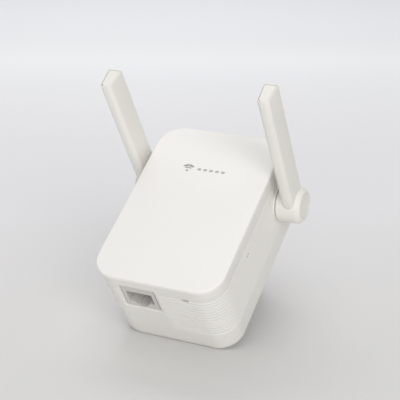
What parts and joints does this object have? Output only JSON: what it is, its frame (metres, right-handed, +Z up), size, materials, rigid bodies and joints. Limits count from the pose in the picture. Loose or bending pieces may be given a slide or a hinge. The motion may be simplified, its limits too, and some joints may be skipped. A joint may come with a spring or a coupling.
{
  "type": "wifi range extender",
  "caption": "Plug-in wireless range extender: white case with round mains plug at the back, network socket underneath and folding side antennas.",
  "frame": {"origin": "midway between the two mains pins, on the outer face of the round plug base where it meets the wall socket", "axes": "+X right as seen from the room, +Y out of the plug base along the pins into the wall, +Z up as plugged in"},
  "size_m": [0.0802, 0.1231, 0.0845],
  "materials": {
    "front_white": "satin smooth moulded plastic, warm white",
    "case_white": "fine matt moulded plastic with ribs, white",
    "antenna_white": "fine matt moulded plastic, warm white",
    "plug_white": "matt moulded plastic, white",
    "button_white": "satin moulded plastic, light grey white",
    "badge_grey": "printed silver grey",
    "window_clear": "clear light pipe",
    "pin_metal": "nickel plated brass",
    "brass_strip": "stamped brass",
    "contact_gold": "gold plated spring wire",
    "shield_metal": "tinned sheet steel",
    "screw_steel": "zinc plated steel",
    "sink_metal": "extruded aluminium",
    "jack_plastic": "light grey white moulded plastic",
    "board_green": "solder resist over glass fibre",
    "chip_black": "moulded epoxy",
    "pad_grey": "soft thermal pad",
    "ferrite_grey": "sintered ferrite",
    "tape_yellow": "wound polyester tape",
    "can_metal": "sleeved aluminium can",
    "film_blue": "dipped film capacitor",
    "lead_grey": "thin coaxial lead",
    "light_yellow": "light emitting diode package"
  },
  "bodies": {
    "case": {"front_panel": "front_white", "rear_housing": "case_white", "plug_base": "plug_white", "ethernet_jack": "jack_plastic", "jack_shield": "shield_metal", "jack_contacts": "contact_gold", "main_board": "board_green", "board_screws": "screw_steel", "board_posts": "case_white", "radio_shield": "shield_metal", "processor": "chip_black", "thermal_pad": "pad_grey", "memory_chip": "chip_black", "network_transformer": "chip_black", "clock_crystal": "shield_metal", "heat_sink": "sink_metal", "coax_sockets": "contact_gold", "power_board": "board_green", "transformer_core": "ferrite_grey", "transformer_winding": "tape_yellow", "input_capacitor": "can_metal", "output_capacitor": "can_metal", "line_choke": "ferrite_grey", "bridge_rectifier": "chip_black", "mains_fuse": "chip_black", "safety_capacitor": "film_blue", "power_controller": "chip_black", "board_header": "contact_gold", "pairing_switch": "chip_black", "reset_switch": "chip_black", "indicator_windows": "window_clear", "status_lights": "light_yellow", "front_badge": "badge_grey", "left_plug_pin": "pin_metal", "left_pin_strap": "brass_strip", "left_case_lead": "lead_grey", "right_plug_pin": "pin_metal", "right_pin_strap": "brass_strip", "right_case_lead": "lead_grey"},
    "left_antenna": {"left_knuckle": "antenna_white", "left_antenna_sleeve": "antenna_white", "left_antenna_cap": "antenna_white", "left_knuckle_disc": "antenna_white", "left_stub_retainer": "screw_steel", "left_antenna_strip": "board_green", "left_antenna_lead": "lead_grey"},
    "right_antenna": {"right_knuckle": "antenna_white", "right_antenna_sleeve": "antenna_white", "right_antenna_cap": "antenna_white", "right_knuckle_disc": "antenna_white", "right_stub_retainer": "screw_steel", "right_antenna_strip": "board_green", "right_antenna_lead": "lead_grey"},
    "pairing_button": {"pairing_button": "button_white"},
    "reset_plunger": {"reset_plunger": "chip_black"}
  },
  "joints": [
    {"name": "left_antenna_hinge", "type": "hinge", "parent": "case", "child": "left_antenna", "pos_m": [-0.031, -0.0375, 0.0089], "axis": [1, 0, 0], "range_deg": [-89, 91]},
    {"name": "right_antenna_hinge", "type": "hinge", "parent": "case", "child": "right_antenna", "pos_m": [0.031, -0.0375, 0.0089], "axis": [1, 0, 0], "range_deg": [-88, 92]},
    {"name": "pairing_button_press", "type": "slide", "parent": "case", "child": "pairing_button", "axis": [1, 0, 0], "range_m": [0, 0.0006], "stiffness_N_per_m": 1000, "springref_m": -0.0004},
    {"name": "reset_press", "type": "slide", "parent": "case", "child": "reset_plunger", "axis": [0, 0, 1], "range_m": [0, 0.0004], "stiffness_N_per_m": 1000, "springref_m": -0.0004}
  ]
}
